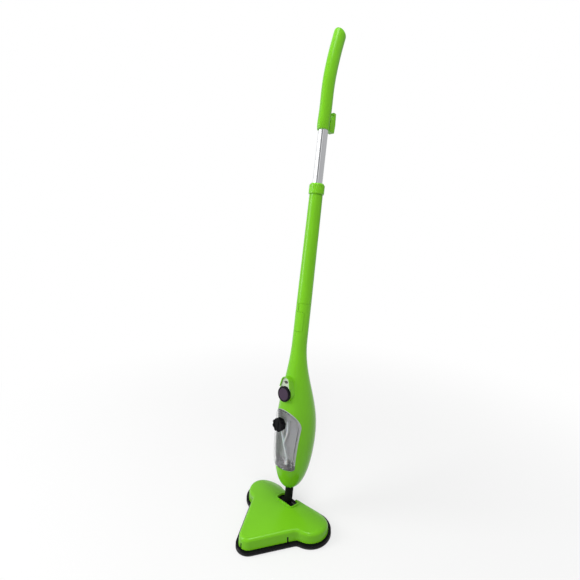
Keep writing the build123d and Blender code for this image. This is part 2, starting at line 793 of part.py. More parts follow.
# Forked suction hose in the tank and the filter weight on its end
hose_back = tank_back + tank_wall + fit
hose_run = [
    (5, -hose_plane, tank_bottom + 19), (5, -hose_plane, tank_bottom + 26),
    (-11, -hose_plane, tank_bottom + 58), (-2, -hose_plane, tank_bottom + 93),
    (-5, -hose_plane, tank_bottom + 119), (-5, -hose_back, tank_bottom + 119)
]
hose_branch = [
    (-11, -hose_plane, tank_bottom + 58), (-22, -hose_plane, tank_bottom + 86),
    (-22, -hose_back, tank_bottom + 86)
]
with BuildPart() as pickup_hose:
    for points in (hose_run, hose_branch):
        with BuildLine(NECK) as run:
            FilletPolyline(*points, radius=2 * hose_radius)
        with BuildSketch(Plane(origin=run.line @ 0, z_dir=run.line % 0)):
            Circle(hose_radius)
        sweep(path=run.line)
pickup_hose.part.label = "pickup_hose"
export_step(pickup_hose.part, "parts/pickup_hose.step")

with BuildPart() as pickup_filter:
    with BuildSketch(NECK.offset(hose_run[0][2] - fit - filter_tall)):
        with Locations(hose_run[0][:2]):
            Circle(filter_radius)
    extrude(amount=filter_tall)
    chamfer(pickup_filter.edges(), edge_break)
pickup_filter.part.label = "pickup_filter"
export_step(pickup_filter.part, "parts/pickup_filter.step")

# Control bezel with a dish for the dial and a window for the lamp
with BuildPart() as control_bezel:
    extrude(pod_outline(FRONT.offset(bezel_seat), bezel_rim + fit), amount=bezel_reach - bezel_seat)
    with BuildSketch(FRONT.offset(dish_reach)):
        with Locations((0, dial_height)):
            Circle(knob_radius + 2 * slack)
    extrude(amount=bezel_reach, mode=Mode.SUBTRACT)
    with BuildSketch(FRONT.offset(bezel_seat)):
        with Locations((0, dial_height)):
            Circle(shaft_radius + slack)
        with Locations((0, pod_height)):
            Ellipse(lamp_width / 2 + fit, lamp_tall / 2 + fit)
    extrude(amount=bezel_reach, mode=Mode.SUBTRACT)
control_bezel.part.label = "control_bezel"
export_step(control_bezel.part, "parts/control_bezel.step")

with BuildPart() as indicator_lamp:
    with BuildSketch(FRONT.offset(bezel_seat)):
        with Locations((0, pod_height)):
            Ellipse(lamp_width / 2, lamp_tall / 2)
    extrude(amount=bezel_reach - bezel_seat + lamp_stand)
    fillet(indicator_lamp.edges().group_by(Axis(foot, front_pole))[-1], lamp_round)
indicator_lamp.part.label = "indicator_lamp"
export_step(indicator_lamp.part, "parts/indicator_lamp.step")

# Steam dial: knob, coloured face and shaft
with BuildPart() as dial_knob:
    with BuildSketch(FRONT.offset(dish_reach + slack)):
        with Locations((0, dial_height)):
            Circle(knob_radius)
    extrude(amount=knob_reach - dish_reach - slack)
    fillet(dial_knob.edges().group_by(Axis(foot, front_pole))[-1], edge_break)
    with BuildSketch(FRONT.offset(knob_reach - face_depth)):
        with Locations((0, dial_height)):
            Circle(face_radius + fit)
    extrude(amount=face_depth, mode=Mode.SUBTRACT)
    with BuildSketch(FRONT.offset(dish_reach)):
        with Locations((0, dial_height)):
            Circle(shaft_radius + running_fit)
    extrude(amount=knob_reach, mode=Mode.SUBTRACT)
dial_knob.part.label = "dial_knob"
export_step(dial_knob.part, "parts/dial_knob.step")

with BuildPart() as dial_face:
    with BuildSketch(FRONT.offset(knob_reach - face_depth)):
        with Locations((0, dial_height)):
            Circle(face_radius)
    extrude(amount=face_depth)
    fillet(dial_face.edges().group_by(Axis(foot, front_pole))[-1], face_depth / 2)
dial_face.part.label = "dial_face"
export_step(dial_face.part, "parts/dial_face.step")

with BuildPart() as dial_shaft:
    with BuildSketch(FRONT.offset(bezel_seat + slack)):
        with Locations((0, dial_height)):
            Circle(shaft_radius)
    extrude(amount=knob_reach - face_depth - bezel_seat - slack)
dial_shaft.part.label = "dial_shaft"
export_step(dial_shaft.part, "parts/dial_shaft.step")

with BuildPart() as control_switch:
    with BuildSketch(FRONT.offset(bezel_seat - switch_depth)):
        with Locations((0, dial_height)):
            Circle(switch_radius)
    extrude(amount=switch_depth)
control_switch.part.label = "control_switch"
export_step(control_switch.part, "parts/control_switch.step")

# Boiler casting with its thermostat, the pump above it and the steam pipe below
with BuildPart() as boiler:
    with BuildSketch(NECK.offset(boiler_bottom)):
        with Locations((0, boiler_back)):
            RectangleRounded(boiler_width, boiler_depth, boiler_corner)
    extrude(amount=boiler_tall)
    fillet(boiler.edges().group_by(Axis(foot, up_pole))[-1], boiler_round)
    with BuildSketch(NECK.offset(boiler_bottom)):
        Circle(pipe_radius + fit / 2)
    extrude(amount=boiler_tall / 4, mode=Mode.SUBTRACT)
boiler.part.label = "boiler"
export_step(boiler.part, "parts/boiler.step")

with BuildPart() as thermostat:
    with BuildSketch(NECK.offset(boiler_bottom + boiler_tall)):
        with Locations((0, boiler_back)):
            Circle(thermostat_radius)
    extrude(amount=thermostat_thickness)
    with BuildSketch(NECK.offset(boiler_bottom + boiler_tall + thermostat_thickness)):
        with Locations((0, boiler_back)):
            with GridLocations(thermostat_radius, 0, 2, 1):
                Rectangle(terminal_thickness, thermostat_radius / 2)
    extrude(amount=thermostat_thickness)
thermostat.part.label = "thermostat"
export_step(thermostat.part, "parts/thermostat.step")

with BuildPart() as pump:
    with BuildSketch(NECK.offset(pump_bottom)):
        with Locations((0, boiler_back)):
            RectangleRounded(pump_width, pump_width, pump_corner)
    extrude(amount=pump_tall)
    with BuildSketch(NECK.offset(pump_bottom + pump_tall)):
        with Locations((0, boiler_back)):
            Circle(2 * pump_nozzle)
    extrude(amount=2 * pump_nozzle)
    with BuildSketch(NECK.offset(pump_bottom + pump_tall + 2 * pump_nozzle)):
        with Locations((0, boiler_back)):
            Circle(pump_nozzle)
    extrude(amount=2 * pump_nozzle)
pump.part.label = "pump"
export_step(pump.part, "parts/pump.step")

with BuildPart() as steam_pipe:
    with BuildSketch(NECK.offset(roll_height + neck_width)):
        Circle(pipe_radius)
        Circle(pipe_radius - pipe_wall, mode=Mode.SUBTRACT)
    extrude(amount=boiler_bottom + boiler_tall / 4 - roll_height - neck_width - fit)
steam_pipe.part.label = "steam_pipe"
export_step(steam_pipe.part, "parts/steam_pipe.step")

# Bush where the mains lead enters the housing
with BuildPart() as cord_gland:
    with BuildSketch(FRONT.offset(-gland_back - unit_wall)):
        with Locations((0, gland_height)):
            Circle(gland_radius)
    extrude(amount=2 * unit_wall + fit)
    with BuildSketch(FRONT.offset(-gland_back + unit_wall + fit)):
        with Locations((0, gland_height)):
            Circle(gland_flange)
    extrude(amount=unit_wall)
    with BuildSketch(FRONT.offset(-gland_back - 2 * unit_wall)):
        with Locations((0, gland_height)):
            Circle(gland_bore)
    extrude(amount=6 * unit_wall, mode=Mode.SUBTRACT)
cord_gland.part.label = "cord_gland"
export_step(cord_gland.part, "parts/cord_gland.step")

# Release button, a curved thumb plate at the front of the handle
button_radius = (handle_radius + seam_radius) / 2
with BuildPart() as release_button:
    with BuildSketch(POLE.offset(button_bottom)):
        Circle(button_radius)
        Circle(button_radius - button_wall, mode=Mode.SUBTRACT)
    extrude(amount=button_tall)
    with BuildSketch(POLE_FRONT.offset(spigot_radius / 2 + button_travel + slack)):
        with Locations((0, button_height)):
            RectangleRounded(button_width, button_tall, button_corner)
    extrude(amount=button_radius, mode=Mode.INTERSECT)
release_button.part.label = "release_button"
export_step(release_button.part, "parts/release_button.step")

# Outer tube: spigot below, taper, and a nose for the collar
with BuildPart() as pole_tube:
    with BuildSketch(POLE_SIDE):
        with BuildLine():
            Polyline(
                (spigot_radius - spigot_wall, handle_top - spigot_length),
                (spigot_radius, handle_top - spigot_length),
                (spigot_radius, handle_top + slack), (seam_radius, handle_top + slack),
                (pole_top_radius, pole_top), (nose_radius, pole_top), (nose_radius, nose_top),
                (pole_bore, nose_top), (pole_bore, handle_top + 3 * spigot_wall),
                (spigot_radius - spigot_wall, handle_top + 2 * spigot_wall), close=True
            )
        make_face()
    revolve(axis=pole_axis)
pole_tube.part.label = "pole_tube"
export_step(pole_tube.part, "parts/pole_tube.step")

with BuildPart() as guide_bush:
    with BuildSketch(POLE.offset(nose_top - bush_length)):
        Circle(pole_bore - running_fit)
        Circle(inner_radius + running_fit, mode=Mode.SUBTRACT)
    extrude(amount=bush_length)
guide_bush.part.label = "guide_bush"
export_step(guide_bush.part, "parts/guide_bush.step")

# Twist collar with finger flutes
with BuildPart() as lock_collar:
    with BuildSketch(POLE_SIDE):
        with BuildLine():
            Polyline(
                (nose_radius + slack, collar_bottom), (collar_radius - collar_edge, collar_bottom),
                (collar_radius, collar_bottom + 2 * collar_edge),
                (collar_radius, collar_top - 4 * collar_edge),
                (collar_radius - 3 * collar_edge, collar_top), (inner_radius + slack, collar_top),
                (inner_radius + slack, nose_top + slack), (nose_radius + slack, nose_top + slack),
                close=True
            )
        make_face()
    revolve(axis=pole_axis)
    with BuildSketch(POLE.offset(collar_bottom + 4 * collar_edge)):
        with PolarLocations(collar_radius + collar_flute_radius - collar_flute_depth, collar_flutes):
            Circle(collar_flute_radius)
    extrude(amount=collar_tall - 10 * collar_edge, mode=Mode.SUBTRACT)
lock_collar.part.label = "lock_collar"
export_step(lock_collar.part, "parts/lock_collar.step")

# Telescopic inner tube and the plug that guides its lower end
with BuildPart() as inner_tube:
    with BuildSketch(POLE.offset(inner_bottom)):
        Circle(inner_radius)
        Circle(inner_radius - inner_wall, mode=Mode.SUBTRACT)
    extrude(amount=grip_bottom + socket_depth - fit - inner_bottom)
inner_tube.part.label = "inner_tube"
export_step(inner_tube.part, "parts/inner_tube.step")

with BuildPart() as tube_plug:
    with BuildSketch(POLE.offset(inner_bottom - plug_length)):
        Circle(pole_bore - running_fit)
    extrude(amount=plug_length)
    with BuildSketch(POLE.offset(inner_bottom)):
        Circle(inner_radius - inner_wall - running_fit)
    extrude(amount=plug_spigot)
tube_plug.part.label = "tube_plug"
export_step(tube_plug.part, "parts/tube_plug.step")


def grip_back(height):
    rise = max(height - grip_bottom - grip_straight, 0) / (grip_length - grip_straight)
    return grip_bend * rise**grip_curl


def grip_half_depth(height):
    return (grip_depth + grip_flare * (height - grip_bottom) / grip_length) / 2


def grip_section(height):
    with BuildSketch(POLE.offset(height)) as section:
        with Locations((0, grip_back(height))):
            Ellipse(grip_width / 2, grip_half_depth(height))
    return section.sketch


# Grip, modelled whole with finger hollows behind, then split into halves
grip_over = grip_depth * tan(radians(grip_slant))
bend_bottom = grip_bottom + grip_straight
bend_step = (grip_top + grip_over - bend_bottom) / grip_stations
lower_steps = [grip_bottom + grip_straight * step / 2 for step in range(2)]
bend_steps = [bend_bottom + bend_step * step for step in range(grip_stations + 1)]
top_normal = Vector(up_pole) + Vector(back_pole) * tan(radians(grip_slant))
top_origin = pole_origin + Vector(up_pole) * grip_top + Vector(back_pole) * grip_back(grip_top)
with BuildPart() as grip_body:
    loft([grip_section(height) for height in lower_steps + bend_steps])
    split(bisect_by=Plane(origin=top_origin, z_dir=top_normal), keep=Keep.BOTTOM)
    fillet(grip_body.faces().sort_by(Axis(foot, up_pole))[-1].edges(), grip_top_round)
    with BuildSketch(POLE_SIDE.offset(-grip_width)):
        for finger in range(finger_count):
            height = grip_bottom + finger_start + finger * finger_pitch
            finger_back = grip_back(height) + grip_half_depth(height) + finger_radius - finger_depth
            with Locations((finger_back, height)):
                Circle(finger_radius)
    extrude(amount=2 * grip_width, mode=Mode.SUBTRACT)
    with BuildSketch(POLE.offset(grip_bottom)):
        Circle(inner_radius + running_fit)
    extrude(amount=socket_depth, mode=Mode.SUBTRACT)
    with BuildSketch(POLE_FRONT.offset(-grip_depth)):
        with Locations((0, hook_height)):
            Circle(hook_pin_radius)
    extrude(amount=grip_depth / 2 + hook_pin_depth + slack, mode=Mode.SUBTRACT)
    screw_heights = [grip_bottom + rise for rise in grip_screw_rises]
    screw_spots = [(grip_back(height), height) for height in screw_heights]
    with BuildSketch(POLE_SIDE.offset(-grip_screw_length / 2)):
        with Locations(*screw_spots):
            Circle(screw_shank / 2 + fit / 2)
    extrude(amount=grip_screw_length, mode=Mode.SUBTRACT)
    with BuildSketch(POLE_SIDE.offset(-grip_screw_length / 2)):
        with Locations(*screw_spots):
            Circle(screw_head / 2 + fit)
    extrude(amount=-grip_width, mode=Mode.SUBTRACT)

with BuildPart() as grip_left:
    add(grip_body.part)
    split(bisect_by=Plane.YZ, keep=Keep.BOTTOM)
grip_left.part.label = "grip_left"
export_step(grip_left.part, "parts/grip_left.step")

with BuildPart() as grip_right:
    add(grip_body.part)
    split(bisect_by=Plane.YZ, keep=Keep.TOP)
grip_right.part.label = "grip_right"
export_step(grip_right.part, "parts/grip_right.step")

with BuildPart() as grip_screws:
    with BuildSketch(POLE_SIDE.offset(-grip_screw_length / 2)):
        with Locations(*screw_spots):
            Circle(screw_head / 2)
    extrude(amount=-screw_head_height)
    with BuildSketch(POLE_SIDE.offset(-grip_screw_length / 2)):
        with Locations(*screw_spots):
            Circle(screw_shank / 2)
    extrude(amount=grip_screw_length - fit)
grip_screws.part.label = "grip_screws"
export_step(grip_screws.part, "parts/grip_screws.step")

# Cord hook that swivels on a shoulder screw behind the grip
hook_front = grip_half_depth(hook_height + hook_tip) + slack
hook_back = hook_front + hook_reach
hook_top = hook_height + hook_tip
with BuildPart() as cord_hook:
    with BuildSketch(POLE_SIDE.offset(-hook_width / 2)):
        with BuildLine():
            Polyline(
                (hook_front, hook_height - hook_drop), (hook_back - hook_flare, hook_height - hook_drop),
                (hook_back, hook_height), (hook_back - hook_flare, hook_top),
                (hook_back - hook_arm - hook_curl, hook_top),
                (hook_back - hook_arm - hook_curl, hook_top - hook_curl),
                (hook_back - hook_arm, hook_top - 2 * hook_curl),
                (hook_back - hook_arm - hook_flare, hook_height + hook_floor),
                (hook_front, hook_height + hook_shoulder), close=True
            )
        make_face()
    extrude(amount=hook_width)
    fillet(cord_hook.edges().filter_by(Axis.X), hook_round)
    with BuildSketch(POLE_FRONT.offset(-hook_back)):
        with Locations((0, hook_height)):
            Circle(hook_pin_radius + running_fit)
    extrude(amount=hook_reach, mode=Mode.SUBTRACT)
    with BuildSketch(POLE_FRONT.offset(-hook_front - hook_web)):
        with Locations((0, hook_height)):
            Circle(hook_head_radius + slack)
    extrude(amount=-hook_reach, mode=Mode.SUBTRACT)
cord_hook.part.label = "cord_hook"
export_step(cord_hook.part, "parts/cord_hook.step")

with BuildPart() as hook_screw:
    with BuildSketch(POLE_FRONT.offset(-hook_front - hook_web - fit)):
        with Locations((0, hook_height)):
            Circle(hook_pin_radius - running_fit / 2)
    extrude(amount=hook_web + fit + slack + hook_pin_depth)
    with BuildSketch(POLE_FRONT.offset(-hook_front - hook_web - fit)):
        with Locations((0, hook_height)):
            Circle(hook_head_radius)
    extrude(amount=-screw_head_height)
hook_screw.part.label = "hook_screw"
export_step(hook_screw.part, "parts/hook_screw.step")
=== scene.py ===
"""Steam mop: finishes, the soft pad and the studio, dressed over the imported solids."""

import math

import bmesh
import bpy
import numpy as np
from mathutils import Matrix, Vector, noise


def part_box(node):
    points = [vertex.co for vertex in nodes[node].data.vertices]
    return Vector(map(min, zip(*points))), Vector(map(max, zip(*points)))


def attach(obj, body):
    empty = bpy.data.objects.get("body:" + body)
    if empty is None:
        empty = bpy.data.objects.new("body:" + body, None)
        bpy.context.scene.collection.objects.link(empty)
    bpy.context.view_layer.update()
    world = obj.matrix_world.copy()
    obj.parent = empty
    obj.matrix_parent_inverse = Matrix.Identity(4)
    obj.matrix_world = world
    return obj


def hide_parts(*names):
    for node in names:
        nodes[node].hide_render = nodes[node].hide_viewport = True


bl_info = {
    "name": "Steam Mop",
    "version": (1, 0, 0),
    "blender": (4, 5, 0),
    "location": "View3D > Sidebar > Steam Mop",
    "description": "Finishes, soft pad and studio for an upright steam mop",
    "category": "Object",
}

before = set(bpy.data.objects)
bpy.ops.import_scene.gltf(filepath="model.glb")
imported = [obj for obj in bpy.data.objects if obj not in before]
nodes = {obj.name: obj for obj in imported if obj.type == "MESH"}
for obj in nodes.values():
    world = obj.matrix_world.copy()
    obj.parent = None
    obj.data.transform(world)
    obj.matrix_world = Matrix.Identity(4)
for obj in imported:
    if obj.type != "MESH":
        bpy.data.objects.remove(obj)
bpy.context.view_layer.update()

LEAN = math.radians(9)              # of the pole, backwards from upright
FOOT = Vector((0, 0.0424, 0.0363))  # foot of the neck, where heights along the pole start
DIAL_HEIGHT = 0.318                 # of the dial along the pole
PAD_LOW, PAD_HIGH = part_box("mop_pad")


def tint(name, words, value):
    return bpy.props.FloatVectorProperty(
        name=name, description=words, subtype="COLOR", size=3, min=0, max=1, default=value
    )


def length(name, words, value):
    return bpy.props.FloatProperty(
        name=name, description=words, unit="LENGTH", precision=5, min=0, default=value
    )


def power(name, words, value):
    return bpy.props.FloatProperty(name=name, description=words, unit="POWER", min=0, default=value)


class MopColours(bpy.types.PropertyGroup):
    """Colours of the finishes, in linear light"""

    green: tint("Green", "Glossy mouldings of head, body, pole and hook", (0.185, 0.56, 0.014))
    grip: tint("Grip green", "Satin mouldings of the grip", (0.18, 0.55, 0.014))
    black: tint("Gloss black", "Base, knob and filler cap", (0.004, 0.004, 0.005))
    satin: tint("Satin black", "Swivel, neck and roll pin", (0.005, 0.005, 0.005))
    silver: tint("Silver", "Bezel round the controls", (0.56, 0.66, 0.50))
    tray: tint("Tray grey", "Tray behind the tank", (0.50, 0.50, 0.51))
    # Painted shade and painted reflection: colour of the dark, greenish left side of the tray.
    flank: tint("Tray flank", "Darker left side of the tray", (0.22, 0.27, 0.20))
    dial: tint("Dial", "Insert in the steam dial", (0.042, 0.024, 0.047))
    lamp: tint("Lamp", "Unlit lens above the dial", (0.020, 0.012, 0.012))
    chrome: tint("Chrome", "Plated inner tube", (0.86, 0.87, 0.89))
    steel: tint("Steel", "Screws, pins and pressed plates", (0.50, 0.50, 0.52))
    alloy: tint("Alloy", "Cast boiler body", (0.55, 0.55, 0.57))
    brass: tint("Brass", "Drawn steam pipe", (0.60, 0.42, 0.16))
    clear: tint("Clear plastic", "Water tank", (0.955, 0.96, 0.965))
    hose: tint("Hose", "Milky suction hose in the tank", (0.78, 0.78, 0.76))
    rubber: tint("Rubber", "Cap seal and cord bush", (0.016, 0.016, 0.016))
    pad: tint("Pad", "Microfibre of the mop pad", (0.014, 0.014, 0.015))
    tape: tint("Binding", "Sewn edge of the mop pad and its hook tape", (0.010, 0.010, 0.011))
    floor: tint("Floor", "Floor as it is seen", (0.9, 0.9, 0.9))
    # Painted shade: the floor throws back almost no light under the head, which darkens the head's walls.
    floor_near: tint("Floor under the head", "Light it throws back close by", (0.08, 0.08, 0.08))
    floor_wide: tint("Floor round about", "Light it throws back further out", (0.5, 0.5, 0.5))


class MopSizes(bpy.types.PropertyGroup):
    """Sizes of the fine detail"""

    peel: length("Mould ripple", "Spacing of the soft ripple on glossy plastic", 0.0030)
    grain: length("Satin grain", "Spacing of the spark grain on satin plastic", 0.0007)
    edge: length("Edge softening", "Radius that sharp plastic edges are shaded with", 0.0006)
    # Painted shade: height of the dark band painted along the foot of the tray.
    shade_foot: length("Darkened foot", "Height of the dark foot of the tray", 0.014)
    groove: length("Dial grooves", "Spacing of the turned lines on the dial", 0.0009)
    rib: length("Lens ribs", "Spacing of the ribs in the lamp's lens", 0.0011)
    pile: length("Pile", "Height of the loops under the pad", 0.0007)
    lumps: length("Lumps", "Spacing of the lumps in the pad's pile", 0.00625)
    channel: length("Seam inset", "Distance of the pad's seam from its edge", 0.0065)
    pucker: length("Pucker", "Height of the puckers along the seam", 0.00025)
    binding: length("Binding", "Thickness of the tape sewn round the pad", 0.0005)
    stitch: length("Stitch", "Spacing of the stitches along the seam", 0.0046)
    spacing: length("Outline spacing", "Distance between points along the pad's edge", 0.0030)


class MopStage(bpy.types.PropertyGroup):
    """Camera and light"""

    eye: bpy.props.FloatVectorProperty(
        name="Eye", description="Place of the camera", subtype="XYZ", unit="LENGTH", size=3,
        default=(0.6049, -0.5919, 0.8016)
    )
    turn: bpy.props.FloatProperty(
        name="Turn", description="Heading of the camera round the mop", unit="ROTATION",
        default=math.radians(43.26)
    )
    dip: bpy.props.FloatProperty(
        name="Dip", description="Angle that the camera looks down at", unit="ROTATION",
        default=math.radians(11.08)
    )
    lens: bpy.props.FloatProperty(
        name="Lens", description="Focal length on a 36 mm sensor", unit="CAMERA", default=22.674
    )
    key: power("Key", "Power of the key softbox", 42)
    fill: power("Fill", "Power of the fill strip", 15)
    top: power("Top", "Power of the top softbox", 18)
    room: bpy.props.FloatProperty(
        name="Room", description="Level of the light from the room", subtype="FACTOR", min=0, max=2,
        default=0.42
    )
    floor: length("Floor", "Half width of the studio floor", 9)


class Wire:
    """A socket that takes part in Python arithmetic"""

    def __init__(self, paint, socket):
        self.paint = paint
        self.socket = socket

    def maths(self, operation, first, second):
        return self.paint.node("ShaderNodeMath", {"operation": operation}, {0: first, 1: second})

    def __add__(self, other):
        return self.maths("ADD", self, other)

    def __sub__(self, other):
        return self.maths("SUBTRACT", self, other)

    def __rsub__(self, other):
        return self.maths("SUBTRACT", other, self)

    def __mul__(self, other):
        return self.maths("MULTIPLY", self, other)

    def __pow__(self, other):
        return self.maths("POWER", self, other)

    __radd__ = __add__

    def output(self, key):
        """Another output of the same node"""
        return Wire(self.paint, self.socket.node.outputs[key])

    def step(self, low, high):
        """0 below low, 1 above high and smooth between"""
        return self.paint.node(
            "ShaderNodeMapRange", {"interpolation_type": "SMOOTHSTEP"},
            {"Value": self, "From Min": low, "From Max": high}
        )

    def waves(self, spacing):
        """Smooth waves from 0 to 1 that are this far apart"""
        return self.maths("SINE", self * (2 * math.pi / spacing), 0) * 0.5 + 0.5


class Paint:
    """A node tree and short ways to write into it"""

    def __init__(self, name, tree=None):
        if tree is None:
            self.material = bpy.data.materials.new(name)
            self.material.use_nodes = True
            tree = self.material.node_tree
        self.tree = tree
        self.shader = tree.nodes.get("Principled BSDF")

    def node(self, kind, settings=None, sockets=None, out=0):
        """Adds a node: its settings first, then the values or links of its sockets"""
        made = self.tree.nodes.new(kind)
        for key, value in (settings or {}).items():
            setattr(made, key, value)
        for key, value in (sockets or {}).items():
            self.put(made.inputs[key], value)
        return Wire(self, made.outputs[out])

    def put(self, socket, value):
        if isinstance(value, Wire):
            self.tree.links.new(value.socket, socket)
        elif socket.type == "RGBA":
            socket.default_value = (*value[:3], 1)
        else:
            socket.default_value = value

    def set(self, **sockets):
        for key, value in sockets.items():
            self.put(self.shader.inputs[key.replace("_", " ").title().replace("Ior", "IOR")], value)

    def place(self):
        """Where the point is on the part"""
        return self.node("ShaderNodeTexCoord", out="Object")

    def along_pole(self):
        """The same place, with Z along the pole and the foot of the neck as its origin"""
        moved = self.node("ShaderNodeVectorMath", {"operation": "SUBTRACT"}, {0: self.place(), 1: FOOT})
        return self.node(
            "ShaderNodeVectorRotate", {"rotation_type": "X_AXIS"}, {"Vector": moved, "Angle": LEAN}
        )

    def split(self, place):
        """The three coordinates of a place"""
        first = self.node("ShaderNodeSeparateXYZ", None, {0: place})
        return [first.output(axis) for axis in range(3)]

    def cloud(self, spacing, detail=2.0, place=None, by=None):
        """Soft noise from 0 to 1 whose lumps are about that far apart"""
        place = place or self.place()
        if by:
            place = self.node("ShaderNodeVectorMath", {"operation": "MULTIPLY"}, {0: place, 1: by})
        return self.node(
            "ShaderNodeTexNoise", {"noise_dimensions": "3D"},
            {"Vector": place, "Scale": 1 / spacing, "Detail": detail}
        )

    def cells(self, spacing):
        """Distance from the nearest of many points that are about that far apart"""
        return self.node(
            "ShaderNodeTexVoronoi", {"feature": "F1"}, {"Vector": self.place(), "Scale": 1 / spacing}
        )

    def blend(self, mask, first, second):
        """Colour first where mask is 0 and second where it is 1"""
        return self.node("ShaderNodeMix", {"data_type": "RGBA"}, {0: mask, 6: first, 7: second}, out=2)

    def relief(self, height, depth, edge=0):
        """Bump of that depth, over edges softened to that radius"""
        sockets = {"Height": height, "Distance": depth, "Strength": 1.0}
        if edge:
            sockets["Normal"] = self.node("ShaderNodeBevel", {"samples": 4}, {"Radius": edge})
        self.put(self.shader.inputs["Normal"], self.node("ShaderNodeBump", None, sockets))


def shade(colour, by):
    return tuple(min(1, part * by) for part in colour)


def dress(paint, *names):
    """Gives these CAD nodes the finish"""
    for name in names:
        skin = nodes[name].data
        skin.materials.clear()
        skin.materials.append(paint.material)


def pole_foot(name):
    """Lowest point of a CAD node along the pole"""
    up = Vector((0, math.sin(LEAN), math.cos(LEAN)))
    return min((vertex.co - FOOT).dot(up) for vertex in nodes[name].data.vertices)


def gloss_plastic(name, colour, sizes, gloss=0.17, clear=0.03, shine=0.18):
    """Polished moulding: slow drift of tone, soft ripple, wiping marks and a few dull patches"""
    paint = Paint(name)
    drift = paint.cloud(0.16, 2)
    wiped = paint.cloud(0.02, 3, by=(1.0, 1.0, 0.22)).step(0.55, 0.85)
    fleck = paint.cloud(0.0012, 1)
    tone = paint.blend(drift.step(0.25, 0.75), shade(colour, 0.93), shade(colour, 1.05))
    paint.set(
        base_color=paint.blend(fleck.step(0.66, 0.80) * 0.25, tone, shade(colour, 1.12)),
        roughness=gloss + wiped * 0.10 + drift * 0.05, coat_weight=clear, coat_roughness=0.06,
        specular_ior_level=shine
    )
    ripple = paint.cloud(sizes.peel, 1) + paint.cloud(sizes.peel * 0.18, 1) * 0.12
    paint.relief(ripple, 0.00006, sizes.edge)
    return paint


def satin_plastic(name, colour, sizes, rough=0.42, depth=0.00009):
    """Spark-grained moulding, smoother where hands and mating parts rub it"""
    paint = Paint(name)
    drift = paint.cloud(0.05, 3)
    rubbed = paint.cloud(0.012, 2).step(0.56, 0.78)
    grain = paint.cells(sizes.grain) + paint.cloud(sizes.grain * 2.4, 2) * 0.5
    paint.set(
        base_color=paint.blend(drift.step(0.3, 0.7), shade(colour, 0.9), shade(colour, 1.12)),
        roughness=rough + drift * 0.10 - rubbed * 0.12, specular_ior_level=0.08
    )
    paint.relief(grain, depth, sizes.edge)
    return paint


def metal(name, colour, rough, streak, along=(1, 1, 1), depth=0.00002, wear=0.055):
    """Metal with fine drawn or brushed lines and faint handling marks"""
    paint = Paint(name)
    lines = paint.cloud(streak, 3, paint.along_pole(), along)
    marks = paint.cloud(0.018, 3).step(0.50, 0.80)
    paint.set(
        base_color=paint.blend(lines.step(0.3, 0.7), shade(colour, 0.92), colour), metallic=1.0,
        roughness=rough + (lines + marks) * wear
    )
    paint.relief(lines, depth)
    return paint


class MOP_OT_green_mouldings(bpy.types.Operator):
    """Glossy green head cover, body halves, thumb button, pole, collar and cord hook"""

    bl_idname = "mop.green_mouldings"
    bl_label = "Green mouldings"

    def execute(self, context):
        scene = context.scene
        paint = gloss_plastic("green_gloss", scene.mop_colours.green, scene.mop_sizes)
        dress(paint, "head_cover", "unit_shell_left", "unit_shell_right", "release_button")
        dress(paint, "pole_tube", "lock_collar", "cord_hook")
        return {"FINISHED"}


class MOP_OT_grip(bpy.types.Operator):
    """Satin green halves of the grip"""

    bl_idname = "mop.grip"
    bl_label = "Grip"

    def execute(self, context):
        scene = context.scene
        paint = gloss_plastic("green_grip", scene.mop_colours.grip, scene.mop_sizes, 0.26)
        dress(paint, "grip_left", "grip_right")
        return {"FINISHED"}


class MOP_OT_black_mouldings(bpy.types.Operator):
    """Polished black base, dial knob and filler cap"""

    bl_idname = "mop.black_mouldings"
    bl_label = "Black mouldings"

    def execute(self, context):
        scene = context.scene
        paint = gloss_plastic("black_gloss", scene.mop_colours.black, scene.mop_sizes, 0.24, 0.02, 0.08)
        dress(paint, "base_plate", "dial_knob", "filler_cap")
        return {"FINISHED"}


class MOP_OT_pale_mouldings(bpy.types.Operator):
    """Silver bezel round the controls and grey tray behind the tank, with painted shade at the tray's foot
    and painted shade and green reflection on its left side
    """

    bl_idname = "mop.pale_mouldings"
    bl_label = "Bezel and tray"

    def execute(self, context):
        colours = context.scene.mop_colours
        sizes = context.scene.mop_sizes
        dress(gloss_plastic("silver_gloss", colours.silver, sizes, 0.22), "control_bezel")
        tray = satin_plastic("grey_plastic", colours.tray, sizes)
        across, _, rise = tray.split(tray.along_pole())
        # Painted shade: the tray turns dark towards its foot, along a soft uneven edge, standing in for
        # the shade at the bottom of the tank.
        foot = pole_foot("tank_tray") + sizes.shade_foot
        shade_foot = 1 - (rise + tray.cloud(0.02, 2) * 0.004).step(foot, foot + 0.010)
        # Painted shade and painted reflection: the left side of the tray turns dark and greenish, standing
        # in for shade and the green shell seen through the tank's wall.
        flank = 1 - across.step(-0.026, -0.006)
        # Soft noise that mottles the painted shade at the foot and on the left side of the tray.
        shade_mottle = tray.cloud(0.03, 3, by=(1.0, 1.0, 0.3)) * 0.3 + 0.7
        tone = tray.blend(flank * shade_mottle, shade(colours.tray, 1.08), colours.flank)
        tray.set(base_color=tray.blend(shade_foot * shade_mottle, tone, shade(colours.tray, 0.36)))
        dress(tray, "tank_tray")
        return {"FINISHED"}


class MOP_OT_swivel(bpy.types.Operator):
    """Satin black swivel, neck, roll pin and inner mouldings"""

    bl_idname = "mop.swivel"
    bl_label = "Swivel"

    def execute(self, context):
        scene = context.scene
        paint = satin_plastic("black_satin", scene.mop_colours.satin, scene.mop_sizes)
        dress(paint, "bearing_caps", "swivel_barrel", "neck", "roll_pin", "control_switch")
        dress(paint, "guide_bush", "tube_plug", "pump")
        return {"FINISHED"}


